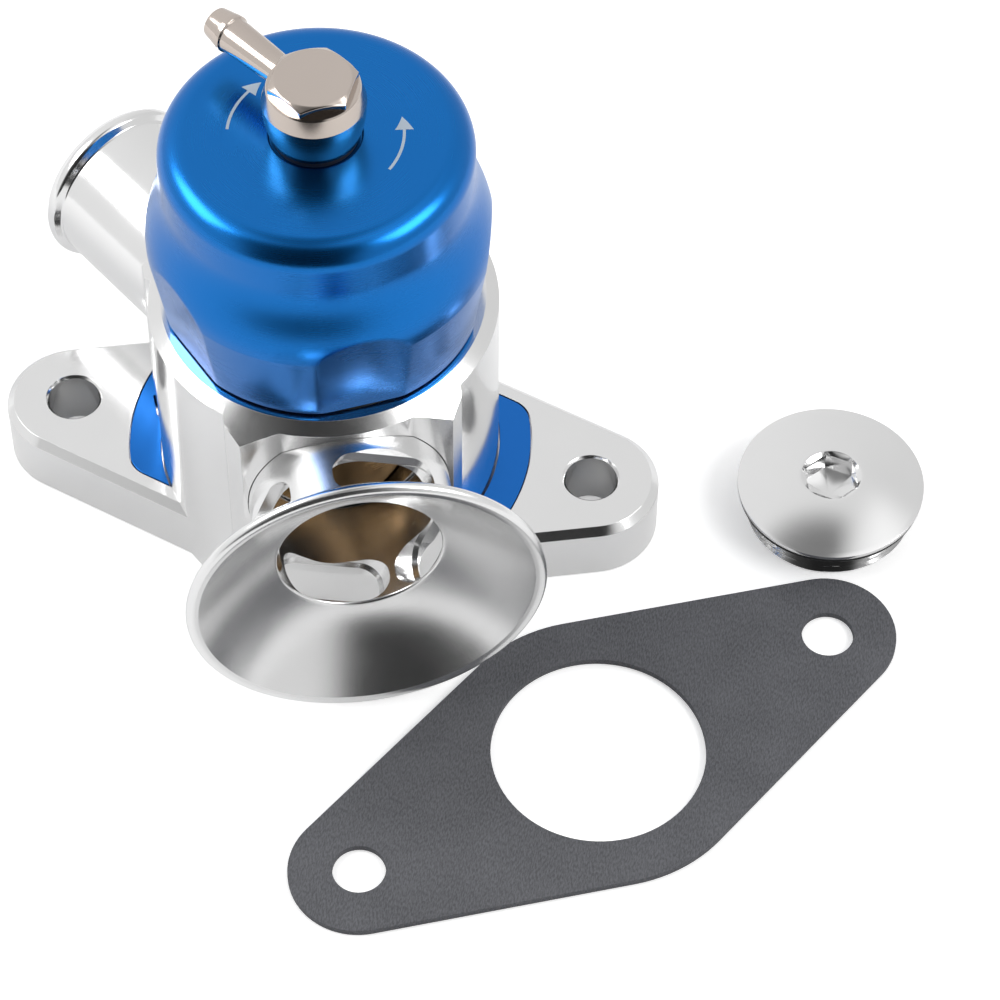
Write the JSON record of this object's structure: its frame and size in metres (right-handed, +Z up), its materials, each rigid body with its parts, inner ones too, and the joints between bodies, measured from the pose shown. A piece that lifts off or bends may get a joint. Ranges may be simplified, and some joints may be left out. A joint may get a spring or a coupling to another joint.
{
  "type": "blow-off valve",
  "caption": "Adjustable blow-off valve with a two-bolt flange, a trumpet outlet, a hose spigot and a screw-down spring cap, with its gasket and blanking plug.",
  "frame": {"origin": "centre of the flange underside, midway between the two bolt holes", "axes": "+Z up along the valve axis, +X along the bolt line, -Y towards the trumpet side"},
  "size_m": [0.1511, 0.1309, 0.0968],
  "materials": {
    "body_metal": "polished",
    "inlay_blue": "satin anodised",
    "spigot_metal": "polished",
    "seal_black": "matte",
    "piston_brass": "turned",
    "guide_polymer": "matte",
    "spring_steel": "oiled",
    "seat_metal": "turned",
    "cap_blue": "bright anodised",
    "fitting_nickel": "nickel plated",
    "fitting_washer_fibre": "matte",
    "trumpet_metal": "polished",
    "gasket_fibre": "matte fibre",
    "plug_metal": "turned"
  },
  "bodies": {
    "valve_body": {"valve_body": "body_metal", "inlay_right": "inlay_blue", "inlay_left": "inlay_blue", "recirculation_spigot": "spigot_metal", "spigot_seal": "seal_black", "cap_seal": "seal_black"},
    "piston": {"piston": "piston_brass", "piston_seal_ring": "seal_black", "piston_guide_band": "guide_polymer", "piston_face_seal": "seal_black"},
    "spring_seat": {"spring_seat": "seat_metal", "spring": "spring_steel"},
    "adjuster_cap": {"adjuster_cap": "cap_blue", "thrust_washer": "guide_polymer"},
    "hose_fitting": {"hose_fitting": "fitting_nickel", "hose_barb": "fitting_nickel", "fitting_washer": "fitting_washer_fibre"},
    "trumpet_seal": {"trumpet_seal": "seal_black"},
    "trumpet": {"trumpet": "trumpet_metal"},
    "gasket": {"gasket": "gasket_fibre"},
    "blanking_plug": {"blanking_plug": "plug_metal", "plug_seal": "seal_black"}
  },
  "joints": [
    {"name": "piston_lift", "type": "slide", "parent": "valve_body", "child": "piston", "axis": [0, 0, 1], "range_m": [0, 0.014], "stiffness_N_per_m": 1500, "springref_m": -0.01, "deforming": ["spring"]},
    {"name": "adjuster_travel", "type": "slide", "parent": "valve_body", "child": "spring_seat", "axis": [0, 0, 1], "range_m": [0, 0.003]},
    {"name": "cap_turn", "type": "hinge", "parent": "spring_seat", "child": "adjuster_cap", "pos_m": [0, 0, 0], "axis": [0, 0, 1], "range_deg": [0, 720]},
    {"name": "fitting_turn", "type": "hinge", "parent": "adjuster_cap", "child": "hose_fitting", "pos_m": [0, 0, 0], "axis": [0, 0, 1], "range_deg": [-180, 180]},
    {"name": "trumpet_travel", "type": "slide", "parent": "valve_body", "child": "trumpet_seal", "axis": [0.3453, -0.9385, 0], "range_m": [0, 0.0075]},
    {"name": "trumpet_turn", "type": "hinge", "parent": "trumpet_seal", "child": "trumpet", "pos_m": [0, 0, 0.0295], "axis": [0.3453, -0.9385, 0], "range_deg": [0, 1800]},
    {"name": "gasket_slide", "type": "slide", "parent": "valve_body", "child": "gasket", "axis": [0.6652, -0.7466, 0], "range_m": [0, 0.06]},
    {"name": "plug_lift", "type": "slide", "parent": "valve_body", "child": "blanking_plug", "axis": [0, 0, 1], "range_m": [0, 0.04]}
  ],
  "couplings": [
    {"joint": "cap_turn", "follows": "adjuster_travel", "rad_per_m": 4188.8},
    {"joint": "trumpet_turn", "follows": "trumpet_travel", "rad_per_m": 4188.8}
  ]
}
